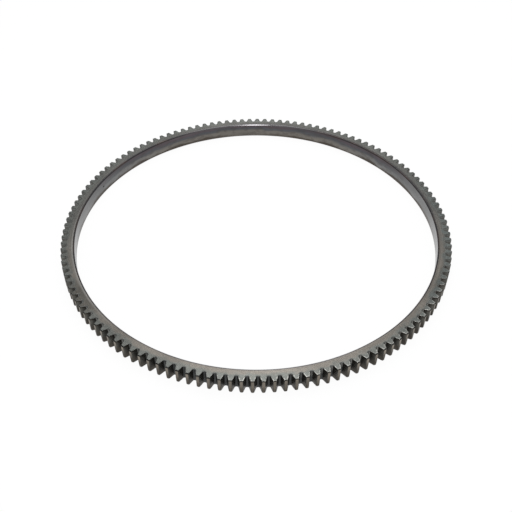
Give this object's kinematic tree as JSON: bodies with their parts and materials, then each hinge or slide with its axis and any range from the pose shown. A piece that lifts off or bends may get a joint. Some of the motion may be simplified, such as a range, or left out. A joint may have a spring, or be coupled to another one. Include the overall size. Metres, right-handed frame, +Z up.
{
  "type": "flywheel ring gear",
  "caption": "Thin steel hoop with straight spur teeth cut round its outside and a chamfered plain bore, shrunk onto a flywheel so that a starter pinion can turn it.",
  "frame": {"origin": "on the axis of the bore, in the plane of the lower flat face that the ring lies on", "axes": "+Z up the axis, away from the lower face; +X through the middle of one tooth"},
  "size_m": [0.3396, 0.3396, 0.0135],
  "materials": {
    "oxidised_steel": "turned and hobbed dark steel with a thin oxide skin and heat tint, satin"
  },
  "bodies": {
    "root": {"ring_gear": "oxidised_steel"}
  },
  "joints": []
}
